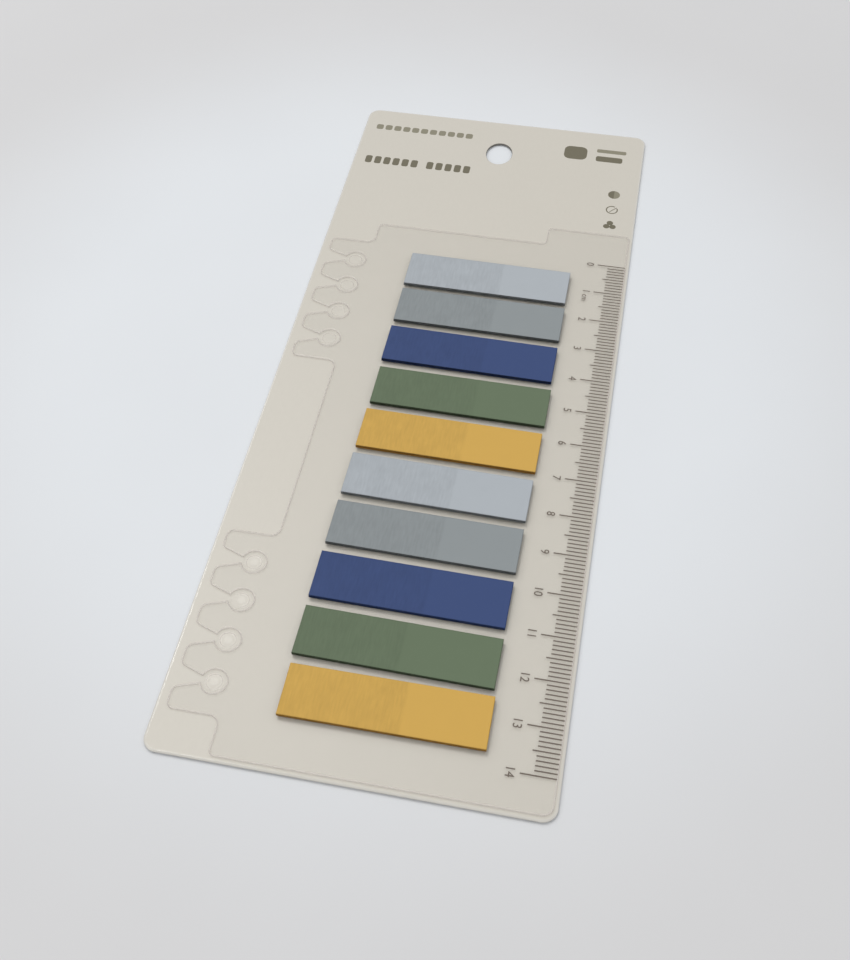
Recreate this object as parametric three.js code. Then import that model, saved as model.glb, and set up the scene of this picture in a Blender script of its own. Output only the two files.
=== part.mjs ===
// A card of sticky index tabs: a backing card with a hang hole, a clear
// loose-leaf ruler plate lying on it, and ten pads of film tabs stuck on the
// plate in two runs of five colours. Millimetres, +Z up. The origin is at the
// middle of the card's back, +Y points to the hang hole, +X to the ruler edge.
import * as THREE from 'three';

// Backing card
const cardWidth = 79.8;
const cardLength = 203.5;
const cardThickness = 0.6;
const cardCornerRadius = 3;
const hangHoleWidth = 7.2;
const hangHoleLength = 9.2;
const hangHoleFromTop = 14.1;

// Ruler plate: its margins are to the card's edges
const plateThickness = 0.5;
const plateMarginRight = 0.8;
const plateMarginBottom = 1;
const plateShoulderFromTop = 49.2;
const plateHeaderRise = 6.3;
const plateHeaderWidth = 21.4;
const plateCornerRadius = 1.2;
const plateNeckRadius = 2;

// Comb of open ring holes down the plate's left side, on one pitch
const combTipMargin = 2.1;
const combDepth = 11.1;
const ringPitch = 9.5;
const ringHoleDiameter = 5.2;
const ringHoleInset = 7.8;
const lowestRingHoleFromBottom = 16.25;
const ringHolesPerFlange = 4;
const ringHolesSkipped = 6;
const throatWidth = 1.4;
const toothTipHeight = 4.4;
const toothTipRadius = 1.6;
const flangeEndOverhang = 2.5;

// Tab pads
const padLength = 41;
const padHeight = 11.2;
const sheetThickness = 0.045;
const sheetsPerPad = 20;
const padPitch = 13.43;
const padCentreFromRight = 35.2;
const lowestPadFromBottom = 16.9;

// Each pad from the top of the card down: how far it was laid out of line
// along the card's width and length, and how far it was turned, in degrees.
const padsTopDown = [
  { name: 'tab_pad_01_pale_blue', colour: 'paleBlue', across: 0.2, along: 0, turn: -0.3 },
  { name: 'tab_pad_02_grey', colour: 'grey', across: 0.3, along: 0.4, turn: -0.2 },
  { name: 'tab_pad_03_blue', colour: 'blue', across: 0.2, along: 0.3, turn: -0.5 },
  { name: 'tab_pad_04_green', colour: 'green', across: 0.4, along: 0, turn: -0.3 },
  { name: 'tab_pad_05_ochre', colour: 'ochre', across: 0.1, along: 0, turn: -0.5 },
  { name: 'tab_pad_06_pale_blue', colour: 'paleBlue', across: -0.1, along: 0, turn: -0.8 },
  { name: 'tab_pad_07_grey', colour: 'grey', across: -0.3, along: 0, turn: -0.7 },
  { name: 'tab_pad_08_blue', colour: 'blue', across: -0.5, along: -0.1, turn: -0.5 },
  { name: 'tab_pad_09_green', colour: 'green', across: -0.5, along: -0.3, turn: -0.7 },
  { name: 'tab_pad_10_ochre', colour: 'ochre', across: -0.1, along: 0, turn: 0.2 },
];

const arcSegments = 12;
const samePoint = 1e-6;

const cardLeft = -cardWidth / 2;
const cardRight = cardWidth / 2;
const cardBottom = -cardLength / 2;
const cardTop = cardLength / 2;
const plateBase = cardThickness;
const padBase = plateBase + plateThickness;
const padThickness = sheetThickness * sheetsPerPad;

const materials = {
  card: new THREE.MeshStandardMaterial({ color: 0xd0cbc0, roughness: 0.75, metalness: 0 }),
  plate: new THREE.MeshStandardMaterial({
    color: 0xe6e6e0, roughness: 0.15, metalness: 0, transparent: true, opacity: 0.35,
  }),
  paleBlue: new THREE.MeshStandardMaterial({ color: 0xacb4ba, roughness: 0.5, metalness: 0 }),
  grey: new THREE.MeshStandardMaterial({ color: 0x8b9193, roughness: 0.5, metalness: 0 }),
  blue: new THREE.MeshStandardMaterial({ color: 0x445680, roughness: 0.5, metalness: 0 }),
  green: new THREE.MeshStandardMaterial({ color: 0x6c7c62, roughness: 0.5, metalness: 0 }),
  ochre: new THREE.MeshStandardMaterial({ color: 0xcda558, roughness: 0.5, metalness: 0 }),
};

// Rounds the corner between two straight edges with a tangent arc.
function addRoundedCorner(path, before, corner, after) {
  const toBefore = new THREE.Vector2(before.x - corner.x, before.y - corner.y).normalize();
  const toAfter = new THREE.Vector2(after.x - corner.x, after.y - corner.y).normalize();
  const halfAngle = Math.acos(toBefore.dot(toAfter)) / 2;
  const setback = corner.radius / Math.tan(halfAngle);
  const toCentre = toBefore.clone().add(toAfter).normalize();
  const reach = corner.radius / Math.sin(halfAngle);
  const centreX = corner.x + toCentre.x * reach;
  const centreY = corner.y + toCentre.y * reach;
  const startX = corner.x + toBefore.x * setback;
  const startY = corner.y + toBefore.y * setback;
  const endX = corner.x + toAfter.x * setback;
  const endY = corner.y + toAfter.y * setback;
  const startAngle = Math.atan2(startY - centreY, startX - centreX);
  const endAngle = Math.atan2(endY - centreY, endX - centreX);
  const turnsRight = toBefore.x * toAfter.y - toBefore.y * toAfter.x > 0;
  path.absarc(centreX, centreY, corner.radius, startAngle, endAngle, turnsRight);
}

// Makes an outline from corners, some rounded, and round stretches between them.
function outlineThrough(stretches) {
  const path = new THREE.Path();
  stretches.forEach((stretch, index) => {
    const before = stretches.at(index - 1);
    const after = stretches[(index + 1) % stretches.length];
    if (stretch.roundHole) {
      const { centreX, centreY, radius, mouthAngle } = stretch.roundHole;
      path.absarc(centreX, centreY, radius, Math.PI - mouthAngle, mouthAngle - Math.PI, true);
    } else if (stretch.radius > 0) {
      addRoundedCorner(path, before, stretch, after);
    } else if (path.curves.length > 0) {
      path.lineTo(stretch.x, stretch.y);
    } else {
      path.moveTo(stretch.x, stretch.y);
    }
  });
  return path.getPoints(arcSegments).filter((point, index, points) => {
    const next = points[(index + 1) % points.length];
    return point.distanceTo(next) > samePoint;
  });
}

// Raises a flat shape into a sheet with its underside at the given height.
function sheetMesh(name, shape, thickness, base, material) {
  const geometry = new THREE.ExtrudeGeometry(shape, {
    depth: thickness,
    bevelEnabled: false,
    curveSegments: 4 * arcSegments,
  });
  const mesh = new THREE.Mesh(geometry, material);
  mesh.name = name;
  mesh.position.z = base;
  return mesh;
}

function backingCard() {
  const radius = cardCornerRadius;
  const shape = new THREE.Shape(outlineThrough([
    { x: cardLeft, y: cardBottom, radius },
    { x: cardRight, y: cardBottom, radius },
    { x: cardRight, y: cardTop, radius },
    { x: cardLeft, y: cardTop, radius },
  ]));
  const hangHole = new THREE.Path();
  const holeY = cardTop - hangHoleFromTop;
  hangHole.absellipse(0, holeY, hangHoleWidth / 2, hangHoleLength / 2, 0, 2 * Math.PI, true);
  shape.holes.push(hangHole);
  return sheetMesh('backing_card', shape, cardThickness, 0, materials.card);
}

// One flange of the comb, listed downwards: teeth with open round holes
// between them. The flange's own top and bottom edges run in to the neck.
function flangeStretches(lowestHoleY) {
  const tipX = cardLeft + combTipMargin;
  const neckX = tipX + combDepth;
  const holeX = tipX + ringHoleInset;
  const holeRadius = ringHoleDiameter / 2;
  const mouthAngle = Math.asin(throatWidth / 2 / holeRadius);
  const throatX = holeX - holeRadius * Math.cos(mouthAngle);
  const highestHoleY = lowestHoleY + (ringHolesPerFlange - 1) * ringPitch;
  const flangeTop = highestHoleY + ringPitch / 2 + flangeEndOverhang;
  const flangeBottom = lowestHoleY - ringPitch / 2 - flangeEndOverhang;
  const stretches = [
    { x: neckX, y: flangeTop, radius: plateNeckRadius },
    { x: tipX, y: flangeTop, radius: toothTipRadius },
  ];
  for (let hole = 0; hole < ringHolesPerFlange; hole += 1) {
    const holeY = highestHoleY - hole * ringPitch;
    const toothAboveY = holeY + ringPitch / 2;
    const toothBelowY = holeY - ringPitch / 2;
    stretches.push({ x: tipX, y: toothAboveY - toothTipHeight / 2, radius: toothTipRadius });
    stretches.push({ x: throatX, y: holeY + throatWidth / 2, radius: 0 });
    stretches.push({
      roundHole: { centreX: holeX, centreY: holeY, radius: holeRadius, mouthAngle },
    });
    stretches.push({ x: throatX, y: holeY - throatWidth / 2, radius: 0 });
    stretches.push({ x: tipX, y: toothBelowY + toothTipHeight / 2, radius: toothTipRadius });
  }
  stretches.push({ x: tipX, y: flangeBottom, radius: toothTipRadius });
  stretches.push({ x: neckX, y: flangeBottom, radius: plateNeckRadius });
  return stretches;
}

function rulerPlate() {
  const right = cardRight - plateMarginRight;
  const bottom = cardBottom + plateMarginBottom;
  const left = cardLeft + combTipMargin + combDepth;
  const shoulder = cardTop - plateShoulderFromTop;
  const headerLeft = right - plateHeaderWidth;
  const headerTop = shoulder + plateHeaderRise;
  const lowestHoleY = cardBottom + lowestRingHoleFromBottom;
  const upperFlangeRise = (ringHolesPerFlange + ringHolesSkipped) * ringPitch;
  const radius = plateCornerRadius;
  const shape = new THREE.Shape(outlineThrough([
    { x: left, y: bottom, radius },
    { x: right, y: bottom, radius: cardCornerRadius - plateMarginRight },
    { x: right, y: headerTop, radius },
    { x: headerLeft, y: headerTop, radius },
    { x: headerLeft, y: shoulder, radius },
    { x: left, y: shoulder, radius },
    ...flangeStretches(lowestHoleY + upperFlangeRise),
    ...flangeStretches(lowestHoleY),
  ]));
  return sheetMesh('ruler_plate', shape, plateThickness, plateBase, materials.plate);
}

function tabPads() {
  const pads = new THREE.Group();
  pads.position.set(
    cardRight - padCentreFromRight,
    cardBottom + lowestPadFromBottom,
    padBase + padThickness / 2,
  );
  padsTopDown.forEach((pad, fromTop) => {
    const geometry = new THREE.BoxGeometry(padLength, padHeight, padThickness);
    const mesh = new THREE.Mesh(geometry, materials[pad.colour]);
    const place = padsTopDown.length - 1 - fromTop;
    mesh.name = pad.name;
    mesh.position.set(pad.across, pad.along + place * padPitch, 0);
    mesh.rotation.z = THREE.MathUtils.degToRad(pad.turn);
    pads.add(mesh);
  });
  return pads;
}

const indexTabs = new THREE.Group();
indexTabs.name = 'sticky_index_tabs';
indexTabs.add(backingCard());
indexTabs.add(rulerPlate());
indexTabs.add(tabPads());

export default indexTabs;
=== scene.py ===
"""Looks of a carded set of sticky index tabs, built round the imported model.

Sizes in the property groups are in metres, as Blender's length units are.
"""
import math

import bmesh
import bpy
from mathutils import Matrix, Vector, geometry, noise


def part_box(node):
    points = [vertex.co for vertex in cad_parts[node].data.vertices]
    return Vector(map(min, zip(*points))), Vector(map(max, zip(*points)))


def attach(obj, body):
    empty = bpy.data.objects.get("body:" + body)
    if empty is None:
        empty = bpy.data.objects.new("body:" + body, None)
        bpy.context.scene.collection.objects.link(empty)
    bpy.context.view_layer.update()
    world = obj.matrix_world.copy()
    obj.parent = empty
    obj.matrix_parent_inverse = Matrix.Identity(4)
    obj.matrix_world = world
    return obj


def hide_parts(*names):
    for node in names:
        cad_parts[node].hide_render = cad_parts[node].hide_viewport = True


bl_info = {
    "name": "Sticky index tabs",
    "version": (1, 0, 0),
    "blender": (4, 5, 0),
    "location": "3D View > Sidebar > Index Tabs",
    "description": "Builds the card, the clear ruler plate, its print and the tab pads",
    "category": "Object",
}

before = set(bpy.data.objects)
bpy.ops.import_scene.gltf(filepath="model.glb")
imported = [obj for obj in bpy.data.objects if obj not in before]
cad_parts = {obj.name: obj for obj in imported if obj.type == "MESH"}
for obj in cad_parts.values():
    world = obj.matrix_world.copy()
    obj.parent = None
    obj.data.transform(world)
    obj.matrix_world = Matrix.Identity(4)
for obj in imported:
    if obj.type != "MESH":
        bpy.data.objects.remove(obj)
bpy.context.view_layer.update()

MM = 0.001
BODY = "root"
CARD = "backing_card"
PLATE = "ruler_plate"
PADS = sorted(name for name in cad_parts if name.startswith("tab_pad_"))
CARD_LOW, CARD_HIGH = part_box(CARD)
PLATE_LOW, PLATE_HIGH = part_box(PLATE)
FILM_SLOTS = {
    "pale_blue": "pale_blue_film",
    "grey": "grey_film",
    "blue": "blue_film",
    "green": "green_film",
    "ochre": "ochre_film",
}


# Property helpers

def length(name, description, millimetres):
    """A length property, written here in millimetres."""
    return bpy.props.FloatProperty(
        name=name, description=description, default=millimetres * MM, unit="LENGTH",
        precision=5,
    )


def colour(name, description, rgb):
    """A colour property in linear light."""
    return bpy.props.FloatVectorProperty(
        name=name, description=description, default=rgb, subtype="COLOR", size=3,
        min=0, max=1,
    )


def share(name, description, default):
    """A plain number from 0 to 1."""
    return bpy.props.FloatProperty(
        name=name, description=description, default=default, subtype="FACTOR",
        min=0, max=1,
    )


def amount(name, description, default):
    """A plain number."""
    return bpy.props.FloatProperty(name=name, description=description, default=default)


def position(name, description, metres):
    """A place on the stage, in metres."""
    return bpy.props.FloatVectorProperty(
        name=name, description=description, default=metres, subtype="XYZ",
        unit="LENGTH", size=3, precision=5,
    )


def count(name, description, default):
    """A whole number."""
    return bpy.props.IntProperty(name=name, description=description, default=default)


# Mesh helpers

def smooth_step(low, high, value):
    """0 below low, 1 above high, and a smooth rise between them."""
    share_of_way = min(1.0, max(0.0, (value - low) / (high - low)))
    return share_of_way * share_of_way * (3 - 2 * share_of_way)


def finish_piece(piece, slot, *replaced):
    """Hangs a finished piece on its body and hides the parts it stands for; the slot argument is
    not used.
    """
    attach(piece, BODY)
    if replaced:
        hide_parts(*replaced)
    return piece


def add_object(name, mesh, materials):
    """Links a new object for a mesh and gives it its material slots."""
    piece = bpy.data.objects.new(name, mesh)
    bpy.context.scene.collection.objects.link(piece)
    for material in materials:
        mesh.materials.append(material)
    return piece


def top_outlines(node):
    """The outlines of a CAD sheet's top face: the outer one and those of its holes."""
    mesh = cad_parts[node].data
    top = max(vertex.co.z for vertex in mesh.vertices)
    follows = {}
    edges = set()
    for polygon in mesh.polygons:
        corners = [tuple(mesh.vertices[i].co) for i in polygon.vertices]
        if min(corner[2] for corner in corners) < top - 1e-6:
            continue
        for here, there in zip(corners, corners[1:] + corners[:1]):
            edges.add((here, there))
    for here, there in edges:
        if (there, here) not in edges:
            follows[here] = there
    outlines = []
    while follows:
        start, here = follows.popitem()
        outline = [start]
        while here != start:
            outline.append(here)
            here = follows.pop(here)
        outlines.append([Vector(point) for point in outline])
    return sorted(outlines, key=outline_area, reverse=True)


def outline_area(outline):
    """The signed area of an outline, positive where it turns to the left."""
    pairs = zip(outline, outline[1:] + outline[:1])
    return sum(a.x * b.y - b.x * a.y for a, b in pairs) / 2


def inset_point(before, point, after, inset):
    """A corner of an outline moved to the left of its walk, into the material."""
    ahead = (after - point).to_2d().normalized()
    behind = (point - before).to_2d().normalized()
    left = Vector((-ahead.y - behind.y, ahead.x + behind.x)).normalized()
    lean = max(0.5, left.dot(Vector((-ahead.y, ahead.x))))
    return point.to_2d() + left * (inset / lean)


def rounded_sheet(name, outlines, base, top, rim_width, rim_drop, rim_steps=6):
    """A flat sheet with rounded rims: face material 0, rim 1, rims of holes 2."""
    hole_rim_share = 0.2
    rows = []
    quarter_turn = [math.pi / 2 * step / rim_steps for step in range(rim_steps + 1)]
    for angle in quarter_turn:
        inset = rim_width * (1 - math.sin(angle))
        rows.append((inset, base + rim_drop * (1 - math.cos(angle))))
    for angle in quarter_turn:
        inset = rim_width * (1 - math.cos(angle))
        rows.append((inset, top - rim_drop * (1 - math.sin(angle))))
    mesh = bmesh.new()
    caps = {0: [], len(rows) - 1: []}
    for outline in outlines:
        rings = []
        narrowing = 1 if outline is outlines[0] else hole_rim_share
        for number, (inset, height) in enumerate(rows):
            ring = []
            for i, point in enumerate(outline):
                after = outline[(i + 1) % len(outline)]
                flat = inset_point(outline[i - 1], point, after, inset * narrowing)
                ring.append(mesh.verts.new((flat.x, flat.y, height)))
            rings.append(ring)
            if number in caps:
                caps[number].append(ring)
        for low, high in zip(rings, rings[1:]):
            for i in range(len(low)):
                j = (i + 1) % len(low)
                wall = mesh.faces.new((low[i], low[j], high[j], high[i]))
                wall.smooth = True
                wall.material_index = 1 if outline is outlines[0] else 2
    for number, rings in caps.items():
        corners = [corner for ring in rings for corner in ring]
        places = [[corner.co.copy() for corner in ring] for ring in rings]
        for triangle in geometry.tessellate_polygon(places):
            face = [corners[i] for i in triangle]
            normal = geometry.normal(*[corner.co for corner in face])
            if (normal.z > 0) != (number > 0):
                face.reverse()
            mesh.faces.new(face)
    return mesh_data(name, mesh)


def mesh_data(name, mesh):
    """Turns a bmesh into a named mesh and frees it."""
    data = bpy.data.meshes.new(name)
    mesh.to_mesh(data)
    mesh.free()
    return data


def bake_modifiers(piece):
    """Turns a piece with live modifiers into a plain mesh."""
    graph = bpy.context.evaluated_depsgraph_get()
    made = bpy.data.meshes.new_from_object(piece.evaluated_get(graph))
    piece.modifiers.clear()
    piece.data = made
    made.name = piece.name
    return piece


# Node helpers

class Tree:
    """Adds nodes to a tree and joins them, for materials and geometry alike."""

    def __init__(self, tree):
        self.tree = tree

    def add(self, kind, settings=None, **inputs):
        """Adds a node. Inputs are values or sockets, named by the input's own name."""
        node = self.tree.nodes.new(kind)
        for key, value in (settings or {}).items():
            setattr(node, key, value)
        for key, value in inputs.items():
            self.put(node.inputs[key.replace("_", " ")], value)
        return node

    def put(self, socket, value):
        """Joins a node's first output or a socket to an input, or sets its value."""
        if isinstance(value, bpy.types.Node):
            value = value.outputs[0]
        if isinstance(value, bpy.types.NodeSocket):
            self.tree.links.new(value, socket)
        elif value is not None:
            socket.default_value = value

    def maths(self, operation, *values):
        """A Math node on up to three values or sockets."""
        node = self.tree.nodes.new("ShaderNodeMath")
        node.operation = operation
        for socket, value in zip(node.inputs, values):
            self.put(socket, value)
        return node.outputs[0]

    def tint(self, rgb, factor):
        """A colour made lighter or darker by a factor that nodes work out."""
        node = self.tree.nodes.new("ShaderNodeVectorMath")
        node.operation = "SCALE"
        self.put(node.inputs[0], rgb)
        self.put(node.inputs["Scale"], factor)
        return node.outputs[0]


def new_material(name):
    """An empty material and the helper for its tree."""
    material = bpy.data.materials.new(name)
    material.use_nodes = True
    material.node_tree.nodes.clear()
    nodes = Tree(material.node_tree)
    output = nodes.add("ShaderNodeOutputMaterial")
    return material, nodes, output


def speckle(nodes, scale, detail=3.0, stretch=(1, 1, 1)):
    """Noise on Object coordinates, its grains per metre given, as a 0 to 1 socket."""
    place = nodes.add("ShaderNodeTexCoord").outputs["Object"]
    mapping = nodes.add("ShaderNodeMapping", Vector=place, Scale=stretch)
    texture = nodes.add("ShaderNodeTexNoise", Vector=mapping, Scale=scale, Detail=detail)
    return texture.outputs["Fac"]


def around_one(nodes, socket, spread):
    """Turns a 0 to 1 socket into a factor around 1 that varies by the spread."""
    centred = nodes.maths("SUBTRACT", socket, 0.5)
    return nodes.maths("MULTIPLY_ADD", centred, 2 * spread, 1.0)


def put_surface(nodes, output, base, roughness, specular, bump=None):
    """Gives a material its opaque surface: colour, roughness, gloss and bump."""
    surface = nodes.add("ShaderNodeBsdfPrincipled", Base_Color=base, Roughness=roughness)
    surface.inputs["Specular IOR Level"].default_value = specular
    if bump:
        nodes.put(surface.inputs["Normal"], bump)
    nodes.put(output.inputs["Surface"], surface)
    return surface


# Materials

def card_stock_material(look):
    """Smooth coated card: faint clouding, fibres and a soft sheen."""
    material, nodes, output = new_material("coated card")
    clouds = around_one(nodes, speckle(nodes, 60, 2), 0.012)
    fibres = around_one(nodes, speckle(nodes, 1400, 4, (1, 0.35, 1)), 0.02)
    shade = nodes.maths("MULTIPLY", clouds, fibres)
    grain = speckle(nodes, 2600, 4)
    bump = nodes.add("ShaderNodeBump", Strength=0.12, Distance=0.00003, Height=grain)
    shine = nodes.maths("MULTIPLY_ADD", grain, 0.12, 0.38)
    put_surface(nodes, output, nodes.tint((*look.card_colour,), shade), shine, 0.55, bump)
    return material


def card_rim_material(name, rgb, roughness, coat=0.0):
    """A rim of the card, a little worn, under a clear coat where coat is 1."""
    material, nodes, output = new_material(name)
    wear = around_one(nodes, speckle(nodes, 500, 3), 0.06)
    base = nodes.tint((*rgb,), wear)
    dull = nodes.maths("MULTIPLY_ADD", speckle(nodes, 900), 0.15, roughness)
    surface = put_surface(nodes, output, base, dull, 0.5)
    surface.inputs["Coat Weight"].default_value = coat
    surface.inputs["Coat Roughness"].default_value = 0.05
    return material


def ink_material(name, rgb):
    """Printed ink, a little uneven where it soaked in."""
    material, nodes, output = new_material(name)
    density = around_one(nodes, speckle(nodes, 3500, 3), 0.14)
    base = nodes.tint((*rgb,), density)
    dull = nodes.maths("MULTIPLY_ADD", speckle(nodes, 1500), 0.2, 0.4)
    put_surface(nodes, output, base, dull, 0.3)
    return material


def clear_material(name, rgb, cover, grazing_cover, roughness, metallic):
    """Clear plastic: see-through face on, reflecting more towards a grazing view."""
    material, nodes, output = new_material(name)
    clear = nodes.add("ShaderNodeBsdfTransparent", Color=(1, 1, 1, 1))
    ripple = speckle(nodes, 300, 2)
    bump = nodes.add("ShaderNodeBump", Strength=0.1, Distance=0.00004, Height=ripple)
    gloss = nodes.add(
        "ShaderNodeBsdfPrincipled",
        Base_Color=(*rgb, 1),
        Metallic=metallic,
        Roughness=nodes.maths("MULTIPLY_ADD", speckle(nodes, 700), 0.08, roughness),
        Normal=bump,
    )
    facing = nodes.add("ShaderNodeLayerWeight", Blend=0.5).outputs["Facing"]
    rise = nodes.maths("POWER", facing, 4.0)
    surface = nodes.add("ShaderNodeMixShader")
    share_covered = nodes.maths("MULTIPLY_ADD", rise, grazing_cover - cover, cover)
    nodes.put(surface.inputs[0], share_covered)
    nodes.put(surface.inputs[1], clear)
    nodes.put(surface.inputs[2], gloss)
    nodes.put(output.inputs["Surface"], surface)
    return material


def film_material(name, rgb, look):
    """Coloured tab film: darker and mottled where the adhesive shows through."""
    material, nodes, output = new_material(name)
    adhesive = nodes.add("ShaderNodeAttribute", {"attribute_name": "adhesive"})
    amount_of_glue = adhesive.outputs["Fac"]
    streaks = speckle(nodes, 2400, 3, (1, 0.14, 1))
    mottle = speckle(nodes, 260, 3)
    mixed = nodes.maths("MULTIPLY_ADD", streaks, 0.6, nodes.maths("MULTIPLY", mottle, 0.4))
    uneven = around_one(nodes, mixed, look.glue_mottle)
    glued = nodes.maths("MULTIPLY", uneven, 1 - look.glue_darkening)
    free = around_one(nodes, mottle, 0.02)
    step = nodes.maths("SUBTRACT", glued, free)
    shade = nodes.maths("MULTIPLY_ADD", step, amount_of_glue, free)
    grain = speckle(nodes, 1800, 3, (1, 0.3, 1))
    bump = nodes.add("ShaderNodeBump", Strength=0.25, Distance=0.00002, Height=grain)
    base = nodes.tint((*rgb,), shade)
    dull = nodes.maths("MULTIPLY_ADD", grain, 0.1, look.film_roughness)
    put_surface(nodes, output, base, dull, 0.18, bump)
    return material


def film_edge_material(name, rgb):
    """The cut edges of stacked film, much darker than its face, layer by layer: partly the
    stack's own dark edge, partly painted shade of the sides turned from the light.
    """
    material, nodes, output = new_material(name)
    layers = speckle(nodes, 400, 2, (1, 1, 50))
    base = nodes.tint((*rgb,), around_one(nodes, layers, 0.4))
    dull = nodes.maths("MULTIPLY_ADD", layers, 0.2, 0.45)
    put_surface(nodes, output, base, dull, 0.12)
    return material


# Property groups

class IndexTabsCard(bpy.types.PropertyGroup):
    """The backing card and its header print."""

    rim_width: length("Rim Width", "Width of the card's pressed rim", 0.45)
    rim_drop: length("Rim Drop", "How far the rim rounds down", 0.2)
    card_colour: colour("Card Colour", "Cream of the coated card", (0.622, 0.585, 0.515))
    rim_colour: colour("Rim Colour", "Paler rim of the card", (0.66, 0.63, 0.57))
    ink_colour: colour("Ink Colour", "Olive brown of the print", (0.165, 0.148, 0.1))
    faint_ink: colour("Faint Ink", "Paler olive of the small print", (0.26, 0.24, 0.175))
    # The hang hole's wall is painted dark: painted shade for the shadow inside the hole
    hole_wall: colour("Hole Wall", "Punched wall of the hang hole", (0.2, 0.185, 0.165))
    ink_thickness: length("Ink Thickness", "How far print stands off its sheet", 0.012)
    print_margin: length("Print Margin", "Block rows' start from the left edge", 3.3)
    small_row_from_top: length("Small Row Drop", "Small blocks' foot from the top", 8.9)
    large_row_from_top: length("Large Row Drop", "Large blocks' foot from the top", 24.2)
    bars_from_right: length("Bars Margin", "Bars' own right edge from the card's", 4.8)
    mark_radius: length("Mark Radius", "Radius of the round marks", 1.6)
    mark_from_right: length("Mark Margin", "Marks' centre from the right edge", 6.5)
    mark_from_top: length("Mark Drop", "First mark's centre from the top edge", 26.2)
    mark_pitch: length("Mark Pitch", "Distance between the marks", 6.3)


class IndexTabsPlate(bpy.types.PropertyGroup):
    """The clear ruler plate."""

    rim_width: length("Rim Width", "Width of the rounding of the punched edges", 0.3)
    rim_drop: length("Rim Drop", "How far the punched edges round down", 0.18)
    air_gap: length("Air Gap", "Air left between the card and the plate", 0.02)
    sheen: colour("Sheen", "Colour of what the clear faces reflect", (0.5, 0.485, 0.46))
    film_sheen: colour("Film Sheen", "Colour of what the thin film reflects", (0.9, 0.89, 0.88))
    edge_colour: colour("Edge Colour", "Tint of the plate's cut edges", (0.74, 0.68, 0.645))
    roughness: share("Roughness", "Roughness of the plate's faces", 0.5)
    hole_radius: length("Hole Radius", "Radius of the ring holes", 2.6)
    hole_from_tip: length("Hole Inset", "Ring hole's centre from the teeth's tips", 7.8)
    hole_pitch: length("Hole Pitch", "Distance between ring holes", 9.5)
    lowest_hole: length("Lowest Hole", "Lowest hole's centre above the card's edge", 16.25)
    holes_in_run: count("Holes in a Run", "Ring holes on one flange", 4)
    holes_skipped: count("Holes Skipped", "Places on the pitch with no hole", 6)
    film_sag: length("Film Sag", "How deep the clear film sinks into a hole", 0.3)
    film_tent: length("Film Tent", "How far its middle rises again", 0.14)
    film_bead: length("Film Bead", "Height of the ring pressed into it", 0.02)
    film_crinkle: length("Film Crinkle", "Height of the film's own waves", 0.025)
    film_thickness: length("Film Thickness", "Thickness of that clear film", 0.03)


class IndexTabsRuler(bpy.types.PropertyGroup):
    """The printed centimetre scale."""

    last_centimetre: count("Last Centimetre", "Highest number on the scale", 14)
    zero_from_bottom: length("Zero Height", "Zero tick above the card's edge", 148.35)
    tick_pitch: length("Tick Pitch", "Distance between ticks", 1.0)
    right_margin: length("Right Margin", "Ticks' right ends from the plate's edge", 0.2)
    short_tick: length("Short Tick", "Length of a millimetre tick", 4.4)
    middle_tick: length("Middle Tick", "Length of a half-centimetre tick", 5.3)
    long_tick: length("Long Tick", "Length of a centimetre tick", 7.0)
    line_width: length("Line Width", "Width of a tick", 0.3)
    numeral_height: length("Numeral Height", "Height of the numerals", 1.85)
    numeral_gap: length("Numeral Gap", "Numerals' tops from the long ticks", 0.85)
    unit_share: share("Unit Share", "Height of the unit, as a share of a numeral's", 0.82)
    ink_colour: colour("Ink Colour", "Taupe of the scale", (0.16, 0.13, 0.105))


class IndexTabsPads(bpy.types.PropertyGroup):
    """The pads of tab film."""

    sheets: count("Sheets", "Sheets in a pad", 20)
    jitter: length("Jitter", "How far a sheet may lie out of line", 0.035)
    sheet_gap: share("Sheet Gap", "Share of a sheet's thickness left open", 0.2)
    adhesive_share: share("Adhesive Share", "Share of the length that is sticky", 0.587)
    short_pad: count("Short Pad", "Number of the pad whose sticky part ends early", 9)
    short_share: share("Short Share", "Sticky share of that pad's length", 0.523)
    ripple: length("Ripple", "Height of the ripples over the adhesive", 0.022)
    grid_step: length("Grid Step", "Mesh size of the top sheet", 0.22)
    glue_darkening: share("Glue Darkening", "How much darker the sticky zone is", 0.075)
    glue_mottle: share("Glue Mottle", "How uneven the sticky zone is", 0.2)
    film_roughness: share("Film Roughness", "Roughness of the film", 0.55)
    pale_blue: colour("Pale Blue", "First film", (0.43, 0.46, 0.49))
    grey: colour("Grey", "Second film", (0.278, 0.302, 0.31))
    blue: colour("Blue", "Third film", (0.045, 0.075, 0.194))
    green: colour("Green", "Fourth film", (0.137, 0.182, 0.112))
    ochre: colour("Ochre", "Fifth film", (0.64, 0.39, 0.09))
    # Edge colours: partly the stacks' own dark edges, partly painted shade of the pads' sides
    pale_blue_edge: colour("Pale Blue Edge", "Its stacked edges", (0.055, 0.053, 0.043))
    grey_edge: colour("Grey Edge", "Its stacked edges", (0.026, 0.024, 0.019))
    blue_edge: colour("Blue Edge", "Its stacked edges", (0.003, 0.005, 0.014))
    green_edge: colour("Green Edge", "Its stacked edges", (0.013, 0.014, 0.005))
    ochre_edge: colour("Ochre Edge", "Its stacked edges", (0.16, 0.062, 0.01))


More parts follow.
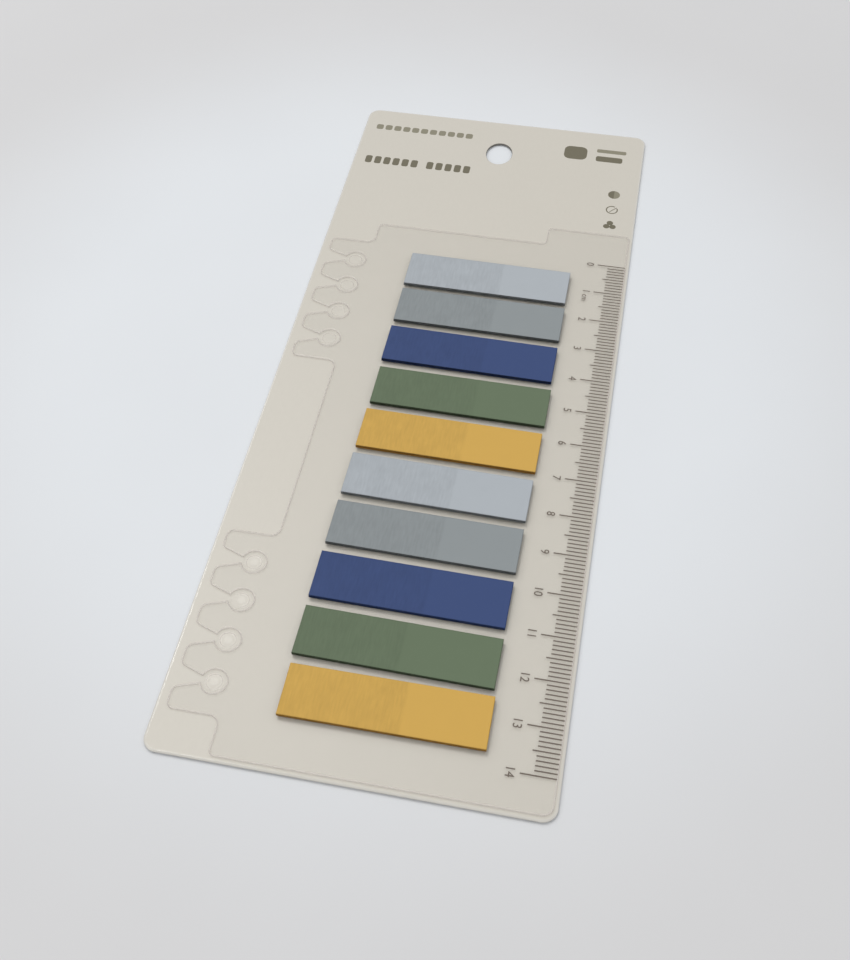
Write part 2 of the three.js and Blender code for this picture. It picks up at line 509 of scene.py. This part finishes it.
class IndexTabsStage(bpy.types.PropertyGroup):
    """Floor, light and camera."""

    # Floor tones: a painted pool of light, lighter and bluer near the card, falling off to the
    # far colour
    floor_colour: colour("Floor Colour", "Table near the card", (0.77, 0.79, 0.815))
    floor_edge_colour: colour("Floor Edge Colour", "Table far out", (0.679, 0.673, 0.676))
    pool_place: position("Pool Place", "Middle of the table's lightest part", (-0.014, 0.011, 0))
    pool_radius: length("Pool Radius", "Where the tone starts to fall off", 72)
    fall_off: length("Fall Off", "Where the far tone is reached", 159)
    floor_drop: length("Floor Drop", "Table below the card, for its contact shadow", 0.15)
    backdrop: amount("Backdrop", "Level of the room as seen and reflected", 0.6)
    low_light: amount("Low Light", "Level of the light from the sides", 0.35)
    overhead_light: amount("Overhead Light", "Level of the light from above", 1.11)
    key_share: amount("Key Share", "Key lamp's light on a level face", 0.2)
    key_place: position("Key Place", "Where the lamp behind stands", (-0.84, 1.17, 2.63))
    key_size: length("Key Size", "Side of the square key lamp", 900)
    fill_share: amount("Fill Share", "Fill lamp's light on a level face", 0.03)
    fill_place: position("Fill Place", "Where the low lamp stands", (-0.45, -0.5, 0.45))
    fill_size: length("Fill Size", "Side of the square fill lamp", 300)
    side_share: amount("Side Share", "Side lamp's light on a level face", 0.04)
    side_place: position("Side Place", "Where the lamp on the left stands", (-0.72, 0.6, 0.75))
    side_size: length("Side Size", "Side of the square side lamp", 450)
    camera_place: position(
        "Camera Place", "Where the camera stands", (0.03386, -0.18275, 0.20856)
    )
    camera_aim: position(
        "Camera Aim", "Point that it looks at", (0.00138, -0.02895, 0.0005)
    )
    camera_roll: bpy.props.FloatProperty(
        name="Camera Roll", description="Clockwise turn about the line of sight",
        default=math.radians(1.17), subtype="ANGLE",
    )
    lens: amount("Lens", "Focal length on a 36 mm long side, in millimetres", 43.95)


# Operators

class INDEXTABS_OT_card(bpy.types.Operator):
    """Build the backing card with its pressed rim and oval hang hole"""

    bl_idname = "index_tabs.card"
    bl_label = "Backing Card"

    def execute(self, context):
        look = context.scene.index_tabs_card
        outlines = top_outlines(CARD)
        mesh = rounded_sheet(
            "card_sheet", outlines, CARD_LOW.z, CARD_HIGH.z, look.rim_width, look.rim_drop
        )
        materials = [
            card_stock_material(look),
            card_rim_material("laminated rim", look.rim_colour, roughness=0.05, coat=1.0),
            # The hang hole's wall gets a dark colour that is painted shade for the shadow in the
            # hole
            card_rim_material("punched wall", look.hole_wall, roughness=0.6),
        ]
        finish_piece(add_object("card_sheet", mesh, materials), "card", CARD)
        return {"FINISHED"}


def ink_patch(mesh, points, base, thickness, material_index=0):
    """Raises a convex patch of ink, its corners in order, off its sheet."""
    low = [mesh.verts.new((x, y, base)) for x, y in points]
    high = [mesh.verts.new((x, y, base + thickness)) for x, y in points]
    faces = [mesh.faces.new(high), mesh.faces.new(low[::-1])]
    for i in range(len(points)):
        j = (i + 1) % len(points)
        faces.append(mesh.faces.new((low[i], low[j], high[j], high[i])))
    for face in faces:
        face.material_index = material_index


def arc_points(x, y, radius, start, end, steps):
    """Points along an arc, its angles in degrees."""
    angles = [math.radians(start + (end - start) * i / steps) for i in range(steps + 1)]
    return [(x + radius * math.cos(a), y + radius * math.sin(a)) for a in angles]


def bar_points(left, bottom, right, top, corner):
    """Corners of a bar with rounded ends."""
    points = []
    corners = (
        (right - corner, top - corner, 0),
        (left + corner, top - corner, 90),
        (left + corner, bottom + corner, 180),
        (right - corner, bottom + corner, 270),
    )
    for x, y, start in corners:
        points += arc_points(x, y, corner, start, start + 90, 4)
    return points


def ring_patches(mesh, x, y, outer, width, start, end, base, thickness):
    """Raises a ring, or a stretch of one, as short convex patches."""
    steps = max(6, int((end - start) / 12))
    turn = (end - start) / steps
    for i in range(steps):
        from_angle = start + i * turn
        rim = arc_points(x, y, outer, from_angle, from_angle + turn, 1)
        inner = arc_points(x, y, outer - width, from_angle + turn, from_angle, 1)
        ink_patch(mesh, rim + inner, base, thickness)


class INDEXTABS_OT_header_print(bpy.types.Operator):
    """Print plain rows of blocks, bars and three round marks on the card's header"""

    bl_idname = "index_tabs.header_print"
    bl_label = "Header Print"

    def execute(self, context):
        look = context.scene.index_tabs_card
        mesh = bmesh.new()
        base = CARD_HIGH.z
        thick = look.ink_thickness
        left = CARD_LOW.x + look.print_margin
        top = CARD_HIGH.y
        small_foot = top - look.small_row_from_top
        large_foot = top - look.large_row_from_top
        # Each size is a block's width, its height and the distance to the next one
        small = (2.0 * MM, 2.2 * MM, 2.6 * MM)
        large = (1.85 * MM, 3.1 * MM, 2.6 * MM)
        self.blocks(mesh, left, small_foot, 11, 11, small, base, thick, 1)
        self.blocks(mesh, left, large_foot, 11, 6, large, base, thick, 0)
        self.bars(mesh, CARD_HIGH.x - look.bars_from_right, top, base, thick)
        self.marks(mesh, look, base, thick)
        data = mesh_data("header_print", mesh)
        inks = [
            ink_material("header ink", look.ink_colour),
            ink_material("header half ink", look.faint_ink),
        ]
        finish_piece(add_object("header_print", data, inks), "card")
        return {"FINISHED"}

    def blocks(self, mesh, left, bottom, total, gap_after, size, base, thick, ink):
        """A row of even blocks with a wider gap after one of them."""
        width, height, pitch = size
        wider_gap = 0.7
        for i in range(total):
            place = i if i < gap_after else i + wider_gap
            x = left + place * pitch
            points = bar_points(x, bottom, x + width, bottom + height, 0.3 * width)
            ink_patch(mesh, points, base, thick, ink)

    def bars(self, mesh, right, top, base, thick):
        """Plain bars at the header's top right."""
        # How far in from the right, how far down, the width and the height, in mm
        bars = ((17.2, 12.7, 6.4, 5.6), (8.2, 8.7, 8.2, 1.5), (8.2, 12.6, 7.4, 2.3))
        for number, (inward, drop, width, height) in enumerate(bars):
            left = right - inward * MM
            bottom = top - drop * MM
            corner = 0.3 * height * MM
            points = bar_points(left, bottom, left + width * MM, bottom + height * MM, corner)
            ink_patch(mesh, points, base, thick, number % 2)

    def marks(self, mesh, look, base, thick):
        """A split disc, a ring with a slash and three dots, one under the other."""
        x = CARD_HIGH.x - look.mark_from_right
        y = CARD_HIGH.y - look.mark_from_top
        radius = look.mark_radius
        ink_patch(mesh, arc_points(x, y, radius, 90, 270, 24), base, thick)
        ink_patch(mesh, arc_points(x, y, radius, -90, 90, 24), base, thick, 1)
        y -= look.mark_pitch
        line = 0.3 * MM
        ring_patches(mesh, x, y, radius, line, 60, 390, base, thick)
        slash = [(-0.6, -0.75), (-0.45, -0.9), (1.25, 0.95), (1.1, 1.1)]
        ink_patch(mesh, [(x + a * MM, y + b * MM) for a, b in slash], base, thick)
        y -= look.mark_pitch
        dot = 0.85 * MM
        dots_from_centre = 0.95 * MM
        for angle in (90, 210, 330):
            centre = arc_points(x, y, dots_from_centre, angle, angle, 1)[0]
            ink_patch(mesh, arc_points(*centre, dot, 0, 345, 23), base, thick)


class INDEXTABS_OT_plate(bpy.types.Operator):
    """Build the clear punched plate with its comb of open ring holes"""

    bl_idname = "index_tabs.plate"
    bl_label = "Ruler Plate"

    def execute(self, context):
        look = context.scene.index_tabs_plate
        base = PLATE_LOW.z + look.air_gap
        mesh = rounded_sheet(
            "clear_plate", top_outlines(PLATE), base, PLATE_HIGH.z, look.rim_width,
            look.rim_drop,
        )
        materials = [
            clear_material(
                "clear plate", look.sheen,
                cover=0.02, grazing_cover=0.6, roughness=look.roughness, metallic=1.0,
            ),
            clear_material(
                "clear plate edge", look.edge_colour,
                cover=0.24, grazing_cover=0.5, roughness=0.12, metallic=0.0,
            ),
        ]
        finish_piece(add_object("clear_plate", mesh, materials), "clear_plate", PLATE)
        return {"FINISHED"}


class INDEXTABS_OT_hole_film(bpy.types.Operator):
    """Build the clear film that sinks into each ring hole and catches the light"""

    bl_idname = "index_tabs.hole_film"
    bl_label = "Film in the Ring Holes"

    def execute(self, context):
        look = context.scene.index_tabs_plate
        mesh = bmesh.new()
        x = PLATE_LOW.x + look.hole_from_tip
        lowest = CARD_LOW.y + look.lowest_hole
        upper_run = look.holes_in_run + look.holes_skipped
        for run_start in (0, upper_run):
            for hole in range(look.holes_in_run):
                place = run_start + hole
                y = lowest + place * look.hole_pitch
                self.dimple(mesh, look, x, y, place)
        data = mesh_data("hole_film", mesh)
        film = clear_material(
            "thin clear film", look.film_sheen,
            cover=0.006, grazing_cover=0.3, roughness=0.12, metallic=1.0,
        )
        crease = clear_material(
            "film crease", look.edge_colour,
            cover=0.2, grazing_cover=0.45, roughness=0.3, metallic=0.0,
        )
        piece = add_object("hole_film", data, [film, crease])
        solidify = piece.modifiers.new("Film thickness", "SOLIDIFY")
        solidify.thickness = look.film_thickness
        solidify.offset = -1
        finish_piece(bake_modifiers(piece), "clear_plate")
        return {"FINISHED"}

    def dimple(self, mesh, look, x, y, seed):
        """One dip of film: down the hole's wall to a ring, then a low six-sided step."""
        spokes = 48
        rings = 34
        step_start, step_end = 0.34, 0.44
        bead_place, bead_width = 0.64, 0.08
        crease_place, crease_width = 0.66, 0.03
        wall_start = 0.7
        clearance = 0.05 * MM
        waves_per_mm = 0.8
        reach = look.hole_radius - clearance
        rim_height = PLATE_HIGH.z - look.rim_drop
        twist = noise.noise(Vector((seed * 1.7, 0.4, 2.2))) * math.pi
        lean = Vector((noise.noise(Vector((seed * 2.3, 5, 1))), 0.3)) * look.film_tent
        previous = None
        for ring in range(rings + 1):
            outward = ring / rings
            radius = reach * outward
            corners = []
            for spoke in range(1 if ring == 0 else spokes):
                angle = 2 * math.pi * spoke / spokes
                px = radius * math.cos(angle)
                py = radius * math.sin(angle)
                sides = [math.cos(angle + twist + math.radians(60 * k)) for k in range(6)]
                tent = 1 - smooth_step(step_start, step_end, outward * max(sides))
                wall = smooth_step(wall_start, 1.0, outward)
                across, along = px / MM * waves_per_mm, py / MM * waves_per_mm
                wave = noise.noise(Vector((across, along, seed * 4.7)))
                bead = 1 - min(1.0, abs(outward - bead_place) / bead_width)
                tilt = (px * lean.x + py * lean.y) / reach
                height = rim_height - look.film_sag * (1 - wall) + look.film_bead * bead
                height += look.film_tent * tent
                height += (tilt + look.film_crinkle * wave) * (1 - wall)
                corners.append(mesh.verts.new((x + px, y + py, height)))
            for i in range(spokes if previous else 0):
                j = (i + 1) % spokes
                face = [previous[i % len(previous)], corners[i], corners[j]]
                if len(previous) > 1:
                    face.append(previous[j])
                added = mesh.faces.new(face)
                added.smooth = True
                added.material_index = int(abs(outward - crease_place) < crease_width)
            previous = corners


def geometry_tree(name, inputs):
    """A geometry node group with inputs named by kind, and the helper for its nodes."""
    tree = bpy.data.node_groups.new(name, "GeometryNodeTree")
    tree.interface.new_socket("Geometry", in_out="OUTPUT", socket_type="NodeSocketGeometry")
    for kind, labels in inputs.items():
        for label in labels:
            socket_type = f"NodeSocket{kind}"
            tree.interface.new_socket(label, in_out="INPUT", socket_type=socket_type)
    nodes = Tree(tree)
    entry = nodes.add("NodeGroupInput")
    leave = nodes.add("NodeGroupOutput")
    return tree, nodes, entry, leave


def add_node_modifier(piece, tree, values):
    """Puts a node group on a piece and sets its inputs by their identifiers."""
    modifier = piece.modifiers.new(tree.name, "NODES")
    modifier.node_group = tree
    for item in tree.interface.items_tree:
        if item.item_type == "SOCKET" and item.in_out == "INPUT" and item.name in values:
            modifier[item.identifier] = values[item.name]
    return modifier


def tick_tree():
    """Ticks on one pitch down the scale: every fifth longer, every tenth longest."""
    inputs = {
        "Vector": ["Top Right"],
        "Int": ["Ticks"],
        "Float": ["Pitch", "Short", "Middle", "Long", "Line Width", "Thickness"],
        "Material": ["Material"],
    }
    tree, nodes, entry, leave = geometry_tree("Scale ticks", inputs)
    value = entry.outputs
    down = nodes.add(
        "ShaderNodeCombineXYZ", Y=nodes.maths("MULTIPLY", value["Pitch"], -1)
    )
    line = nodes.add(
        "GeometryNodeMeshLine", Count=value["Ticks"], Start_Location=value["Top Right"],
        Offset=down,
    )
    index = nodes.add("GeometryNodeInputIndex").outputs[0]
    lengths = value["Short"]
    for step, longer in ((5, "Middle"), (10, "Long")):
        rest = nodes.maths("MODULO", index, step)
        on_step = nodes.maths("LESS_THAN", rest, 0.5)
        extra = nodes.maths("SUBTRACT", value[longer], lengths)
        lengths = nodes.maths("MULTIPLY_ADD", on_step, extra, lengths)
    tick = nodes.add("GeometryNodeMeshCube", Size=(1, 1, 1))
    hang = nodes.add("GeometryNodeTransform", Geometry=tick)
    hang.inputs["Translation"].default_value = (-0.5, 0, 0.5)
    size = nodes.add(
        "ShaderNodeCombineXYZ", X=lengths, Y=value["Line Width"], Z=value["Thickness"]
    )
    placed = nodes.add(
        "GeometryNodeInstanceOnPoints", Points=line,
        Instance=hang, Scale=size,
    )
    real = nodes.add("GeometryNodeRealizeInstances", Geometry=placed)
    inked = nodes.add(
        "GeometryNodeSetMaterial", Geometry=real, Material=value["Material"]
    )
    nodes.put(leave.inputs[0], inked)
    return tree


def embolden(mesh, growth):
    """Moves the outlines of raised lettering outwards, so that its strokes widen."""
    solid = bmesh.new()
    solid.from_mesh(mesh)
    bmesh.ops.remove_doubles(solid, verts=solid.verts, dist=1e-4)
    bmesh.ops.recalc_face_normals(solid, faces=solid.faces)
    solid.normal_update()
    moves = []
    for corner in solid.verts:
        sides = [face.normal for face in corner.link_faces if abs(face.normal.z) < 0.5]
        if sides:
            outward = sum(sides, Vector()).normalized()
            moves.append((corner, outward * growth / max(0.6, outward.dot(sides[0]))))
    for corner, move in moves:
        corner.co += move
    solid.to_mesh(mesh)
    solid.free()


class INDEXTABS_OT_ruler_print(bpy.types.Operator):
    """Print the centimetre scale: its ticks by geometry nodes, then its numerals"""

    bl_idname = "index_tabs.ruler_print"
    bl_label = "Ruler Print"

    def execute(self, context):
        look = context.scene.index_tabs_ruler
        thick = context.scene.index_tabs_card.ink_thickness
        base = PLATE_HIGH.z - thick / 4
        ink = ink_material("scale ink", look.ink_colour)
        right = PLATE_HIGH.x - look.right_margin
        top = CARD_LOW.y + look.zero_from_bottom
        ticks = add_object("scale_ticks", bpy.data.meshes.new("scale_ticks"), [ink])
        add_node_modifier(ticks, tick_tree(), {
            "Top Right": (right, top, base),
            "Pitch": look.tick_pitch,
            "Ticks": look.last_centimetre * 10 + 1,
            "Short": look.short_tick,
            "Middle": look.middle_tick,
            "Long": look.long_tick,
            "Line Width": look.line_width,
            "Thickness": thick,
            "Material": ink,
        })
        ticks.visible_shadow = False
        finish_piece(bake_modifiers(ticks), "clear_plate")
        x = right - look.long_tick - look.numeral_gap - look.numeral_height
        for number in range(look.last_centimetre + 1):
            y = top - number * 10 * look.tick_pitch
            foot = Vector((x, y, base + thick / 2))
            name = f"scale_numeral_{number:02d}"
            self.numeral(str(number), name, look.numeral_height, foot, thick, ink)
        unit_y = top - 10 * look.tick_pitch - look.numeral_height * 1.3
        foot = Vector((x, unit_y, base + thick / 2))
        unit_height = look.numeral_height * look.unit_share
        self.numeral("cm", "scale_unit", unit_height, foot, thick, ink)
        return {"FINISHED"}

    def numeral(self, text, name, height, foot, thick, ink):
        """One number, turned so that it reads down the scale."""
        curve = bpy.data.curves.new(name, "FONT")
        curve.body = text
        curve.align_x = "CENTER"
        curve.size = 1.0
        curve.resolution_u = 6
        curve.extrude = 0.5
        lettering = bpy.data.objects.new(name, curve)
        bpy.context.scene.collection.objects.link(lettering)
        bpy.context.view_layer.update()
        graph = bpy.context.evaluated_depsgraph_get()
        mesh = bpy.data.meshes.new_from_object(lettering.evaluated_get(graph))
        bpy.data.objects.remove(lettering)
        stroke_growth = 0.006
        digit_height = 0.72
        narrowing = 0.95
        embolden(mesh, stroke_growth)
        across = height / digit_height
        size = Matrix.Diagonal((across * narrowing, across, thick, 1))
        turn = Matrix.Rotation(-math.pi / 2, 4, "Z")
        mesh.transform(Matrix.Translation(foot) @ turn @ size)
        mesh.materials.clear()
        mesh.name = name
        printed = add_object(name, mesh, [ink])
        printed.visible_shadow = False
        finish_piece(printed, "clear_plate")


def pad_axes(node):
    """A pad's centre of top, its direction along its length, and its three sizes."""
    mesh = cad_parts[node].data
    high = max(vertex.co.z for vertex in mesh.vertices)
    low = min(vertex.co.z for vertex in mesh.vertices)
    corners = {
        (round(v.co.x, 7), round(v.co.y, 7)) for v in mesh.vertices if v.co.z > high - 1e-6
    }
    corners = [Vector((x, y, 0)) for x, y in corners]
    centre = sum(corners, Vector()) / len(corners)
    first = corners[0]
    others = sorted(corners[1:], key=lambda corner: (corner - first).length)
    short, long = others[0] - first, others[1] - first
    along = long.normalized()
    if along.x < 0:
        along.negate()
    centre.z = high
    return centre, along, long.length, short.length, high - low


def pad_tree():
    """A stack of thin sheets under a pad's top sheet, each a little out of line."""
    inputs = {
        "Geometry": ["Top Sheet"],
        "Vector": ["Sheet Size", "Top Centre"],
        "Int": ["Sheets", "Seed"],
        "Float": ["Pitch", "Jitter", "Turn"],
        "Material": ["Face Material", "Edge Material"],
    }
    tree, nodes, entry, leave = geometry_tree("Stacked tab sheets", inputs)
    value = entry.outputs
    down = nodes.add(
        "ShaderNodeCombineXYZ", Z=nodes.maths("MULTIPLY", value["Pitch"], -1)
    )
    half_down = nodes.add(
        "ShaderNodeCombineXYZ", Z=nodes.maths("MULTIPLY", value["Pitch"], -1.5)
    )
    line = nodes.add(
        "GeometryNodeMeshLine", Count=nodes.maths("SUBTRACT", value["Sheets"], 1),
        Start_Location=half_down, Offset=down,
    )
    back = nodes.maths("MULTIPLY", value["Jitter"], -1)
    lowest = nodes.add("ShaderNodeCombineXYZ", X=back, Y=back)
    highest = nodes.add("ShaderNodeCombineXYZ", X=0, Y=value["Jitter"])
    stray = nodes.add("FunctionNodeRandomValue", {"data_type": "FLOAT_VECTOR"})
    nodes.put(stray.inputs[0], lowest)
    nodes.put(stray.inputs[1], highest)
    nodes.put(stray.inputs["Seed"], value["Seed"])
    strewn = nodes.add(
        "GeometryNodeSetPosition", Geometry=line, Offset=stray
    )
    sheet = nodes.add("GeometryNodeMeshCube", Size=value["Sheet Size"])
    stack = nodes.add(
        "GeometryNodeInstanceOnPoints", Points=strewn, Instance=sheet
    )
    faced = nodes.add(
        "GeometryNodeSetMaterial", Geometry=stack,
        Material=value["Face Material"],
    )
    turn = nodes.add("ShaderNodeCombineXYZ", Z=value["Turn"])
    placed = nodes.add(
        "GeometryNodeTransform", Geometry=faced,
        Translation=value["Top Centre"], Rotation=turn,
    )
    joined = nodes.add("GeometryNodeJoinGeometry")
    nodes.put(joined.inputs[0], placed)
    nodes.put(joined.inputs[0], value["Top Sheet"])
    real = nodes.add("GeometryNodeRealizeInstances", Geometry=joined)
    # Side faces get the edge material, whose darkness is partly painted shade
    normal = nodes.add("GeometryNodeInputNormal").outputs[0]
    upright = nodes.add("ShaderNodeSeparateXYZ", Vector=normal).outputs["Z"]
    is_edge = nodes.maths("LESS_THAN", nodes.maths("ABSOLUTE", upright), 0.7)
    edged = nodes.add(
        "GeometryNodeSetMaterial", Geometry=real, Selection=is_edge,
        Material=value["Edge Material"],
    )
    nodes.put(leave.inputs[0], edged)
    return tree


def top_sheet(name, axes, look, seed):
    """The rippled top sheet of a pad: a closed thin slab with a fine top grid."""
    centre, along, long, short, thick = axes
    across = Vector((-along.y, along.x, 0))
    sheet = thick / look.sheets * (1 - look.sheet_gap)
    columns = int(long / look.grid_step)
    rows = int(short / look.grid_step)
    mesh = bmesh.new()
    glue = mesh.verts.layers.float.new("adhesive")
    boundary = long * (look.short_share if seed == look.short_pad else look.adhesive_share)
    grid = []
    for i in range(columns + 1):
        u = long * i / columns
        column = []
        for j in range(rows + 1):
            v = short * j / rows
            zone = 1 - smooth_step(boundary - 0.4 * MM, boundary + 0.4 * MM, u)
            to_edge = min(u, long - u, v, short - v)
            inside = smooth_step(0, 0.5 * MM, to_edge)
            streak = noise.noise(Vector((u / MM * 1.5, v / MM * 0.16, seed * 3.1)))
            fine = noise.noise(Vector((u / MM * 3.4, v / MM * 0.4, seed * 5.7)))
            swell = noise.noise(Vector((u / MM * 0.12, v / MM * 0.2, seed * 1.3)))
            wave = (0.65 * streak + 0.35 * fine) * zone + 0.5 * swell * (1 - zone)
            drop = look.ripple * inside * (0.5 - 0.5 * wave)
            place = centre + along * (u - long / 2) + across * (v - short / 2)
            corner = mesh.verts.new((place.x, place.y, centre.z - drop))
            corner[glue] = zone
            column.append(corner)
        grid.append(column)
    for i in range(columns):
        for j in range(rows):
            face = (grid[i][j], grid[i + 1][j], grid[i + 1][j + 1], grid[i][j + 1])
            mesh.faces.new(face).smooth = True
    rim = [grid[i][0] for i in range(columns)]
    rim += [grid[columns][j] for j in range(rows)]
    rim += [grid[i][rows] for i in range(columns, 0, -1)]
    rim += [grid[0][j] for j in range(rows, 0, -1)]
    under = []
    for corner in rim:
        low = mesh.verts.new((corner.co.x, corner.co.y, centre.z - sheet))
        low[glue] = corner[glue]
        under.append(low)
    for i in range(len(rim)):
        j = (i + 1) % len(rim)
        mesh.faces.new((under[i], under[j], rim[j], rim[i]))
    mesh.faces.new(under[::-1])
    return mesh_data(name, mesh)


class INDEXTABS_OT_pads(bpy.types.Operator):
    """Stack the sheets of every tab pad, with a rippled sheet on top"""

    bl_idname = "index_tabs.pads"
    bl_label = "Tab Pads"

    def execute(self, context):
        look = context.scene.index_tabs_pads
        tree = pad_tree()
        faces = {}
        edges = {}
        for key in FILM_SLOTS:
            faces[key] = film_material(f"{key} film", getattr(look, key), look)
            # Each edge colour is partly the stack's own dark edge, partly painted shade
            edges[key] = film_edge_material(f"{key} edges", getattr(look, f"{key}_edge"))
        for number, node in enumerate(PADS, 1):
            key = node.split("_", 3)[3]
            axes = pad_axes(node)
            centre, along, long, short, thick = axes
            name = f"tab_sheets_{number:02d}"
            mesh = top_sheet(name, axes, look, number)
            piece = add_object(name, mesh, [faces[key]])
            pitch = thick / look.sheets
            add_node_modifier(piece, tree, {
                "Sheet Size": (long, short, pitch * (1 - look.sheet_gap)),
                "Pitch": pitch,
                "Sheets": look.sheets,
                "Jitter": look.jitter,
                "Seed": number,
                "Top Centre": centre,
                "Turn": math.atan2(along.y, along.x),
                "Face Material": faces[key],
                "Edge Material": edges[key],
            })
            finish_piece(bake_modifiers(piece), FILM_SLOTS[key], node)
        return {"FINISHED"}


class INDEXTABS_OT_stage(bpy.types.Operator):
    """Set the pale floor, the soft light and the camera"""

    bl_idname = "index_tabs.stage"
    bl_label = "Stage"

    def execute(self, context):
        look = context.scene.index_tabs_stage
        self.floor(look)
        self.light(context, look)
        self.camera(context, look)
        context.scene.view_settings.view_transform = "Standard"
        return {"FINISHED"}

    def floor(self, look):
        """A wide level table top just under the card, with a painted pool of light around the
        card that falls off outwards.
        """
        half = 4.0
        corners = [(-half, -half), (half, -half), (half, half), (-half, half)]
        points = [(x, y, -look.floor_drop) for x, y in corners]
        mesh = bpy.data.meshes.new("floor")
        mesh.from_pydata(points, [], [(0, 1, 2, 3)])
        material, nodes, output = new_material("pale table")
        # Painted light: the table is lighter around the pool's middle and darker further out
        place = nodes.add("ShaderNodeTexCoord").outputs["Object"]
        distance = nodes.add("ShaderNodeVectorMath", {"operation": "DISTANCE"})
        nodes.put(distance.inputs[0], place)
        nodes.put(distance.inputs[1], (*look.pool_place,))
        outwards = nodes.add(
            "ShaderNodeMapRange", {"interpolation_type": "SMOOTHSTEP"},
            Value=distance.outputs["Value"], From_Min=look.pool_radius,
            From_Max=look.fall_off,
        )
        tone = nodes.add("ShaderNodeMix", {"data_type": "RGBA"})
        nodes.put(tone.inputs["Factor"], outwards)
        nodes.put(tone.inputs[6], (*look.floor_colour, 1))
        nodes.put(tone.inputs[7], (*look.floor_edge_colour, 1))
        clouds = around_one(nodes, speckle(nodes, 25, 5), 0.02)
        put_surface(nodes, output, nodes.tint(tone.outputs[2], clouds), 0.7, 0.2)
        add_object("floor", mesh, [material])

    def light(self, context, look):
        """A soft room, brightest overhead, with a key lamp and two weak ones."""
        world = bpy.data.worlds.new("soft room")
        world.use_nodes = True
        background = world.node_tree.nodes["Background"]
        background.inputs["Color"].default_value = (0.97, 0.985, 1, 1)
        nodes = Tree(world.node_tree)
        direction = nodes.add("ShaderNodeTexCoord").outputs["Object"]
        upward = nodes.add("ShaderNodeSeparateXYZ", Vector=direction).outputs["Z"]
        steepness = nodes.maths("POWER", nodes.maths("MAXIMUM", upward, 0.0), 2.0)
        rise = look.overhead_light - look.low_light
        lighting = nodes.maths("MULTIPLY_ADD", steepness, rise, look.low_light)
        ray = nodes.add("ShaderNodeLightPath").outputs
        seen = nodes.maths("ADD", ray["Is Camera Ray"], ray["Is Glossy Ray"])
        seen = nodes.maths("ADD", seen, ray["Is Transmission Ray"])
        seen = nodes.maths("MINIMUM", seen, 1.0)
        change = nodes.maths("SUBTRACT", look.backdrop, lighting)
        strength = nodes.maths("MULTIPLY_ADD", seen, change, lighting)
        nodes.put(background.inputs["Strength"], strength)
        context.scene.world = world
        for kind in ("key", "fill", "side"):
            self.lamp(context, look, kind)

    def lamp(self, context, look, kind):
        """A square lamp aimed at the card, its power set by its light on the card."""
        lamp = bpy.data.lights.new(f"{kind} lamp", "AREA")
        lamp.shape = "SQUARE"
        lamp.size = getattr(look, f"{kind}_size")
        away = Vector(getattr(look, f"{kind}_place"))
        level_share = getattr(look, f"{kind}_share")
        lamp.energy = level_share * math.pi**2 * away.length**3 / away.z
        lamp.color = (1, 0.985, 0.96)
        holder = bpy.data.objects.new(lamp.name, lamp)
        holder.location = away
        holder.rotation_mode = "QUATERNION"
        holder.rotation_quaternion = away.to_track_quat("Z", "Y")
        context.scene.collection.objects.link(holder)

    def camera(self, context, look):
        """The camera at the photograph's place, aim and turn."""
        data = bpy.data.cameras.new("camera")
        data.sensor_width = 36
        data.lens = look.lens
        data.clip_start = 0.01
        camera = bpy.data.objects.new("camera", data)
        place = Vector(look.camera_place)
        sight = Vector(look.camera_aim) - place
        camera.location = place
        camera.rotation_mode = "QUATERNION"
        level = sight.to_track_quat("-Z", "Y")
        roll = Matrix.Rotation(-look.camera_roll, 4, "Z").to_quaternion()
        camera.rotation_quaternion = level @ roll
        context.scene.collection.objects.link(camera)
        context.scene.camera = camera


class INDEXTABS_PT_panel(bpy.types.Panel):
    """Lists the pieces in the order that they are built"""

    bl_idname = "INDEXTABS_PT_panel"
    bl_label = "Sticky Index Tabs"
    bl_space_type = "VIEW_3D"
    bl_region_type = "UI"
    bl_category = "Index Tabs"

    def draw(self, context):
        for operator, settings in STEPS:
            self.layout.operator(operator.bl_idname)
            for key in SETTINGS[settings].__annotations__:
                self.layout.prop(getattr(context.scene, settings), key)


SETTINGS = {
    "index_tabs_card": IndexTabsCard,
    "index_tabs_plate": IndexTabsPlate,
    "index_tabs_ruler": IndexTabsRuler,
    "index_tabs_pads": IndexTabsPads,
    "index_tabs_stage": IndexTabsStage,
}
STEPS = (
    (INDEXTABS_OT_card, "index_tabs_card"),
    (INDEXTABS_OT_header_print, "index_tabs_card"),
    (INDEXTABS_OT_plate, "index_tabs_plate"),
    (INDEXTABS_OT_hole_film, "index_tabs_plate"),
    (INDEXTABS_OT_ruler_print, "index_tabs_ruler"),
    (INDEXTABS_OT_pads, "index_tabs_pads"),
    (INDEXTABS_OT_stage, "index_tabs_stage"),
)


def register():
    """Registers the settings, the operators and the panel."""
    for name, group in SETTINGS.items():
        bpy.utils.register_class(group)
        setattr(bpy.types.Scene, name, bpy.props.PointerProperty(type=group))
    for operator, _ in STEPS:
        bpy.utils.register_class(operator)
    bpy.utils.register_class(INDEXTABS_PT_panel)


def unregister():
    """Takes everything back out, in the other order."""
    bpy.utils.unregister_class(INDEXTABS_PT_panel)
    for operator, _ in reversed(STEPS):
        bpy.utils.unregister_class(operator)
    for name, group in reversed(SETTINGS.items()):
        delattr(bpy.types.Scene, name)
        bpy.utils.unregister_class(group)


def main():
    """Builds everything in order."""
    register()
    for operator, _ in STEPS:
        category, step = operator.bl_idname.split(".")
        getattr(getattr(bpy.ops, category), step)()


if __name__ == "__main__":
    main()
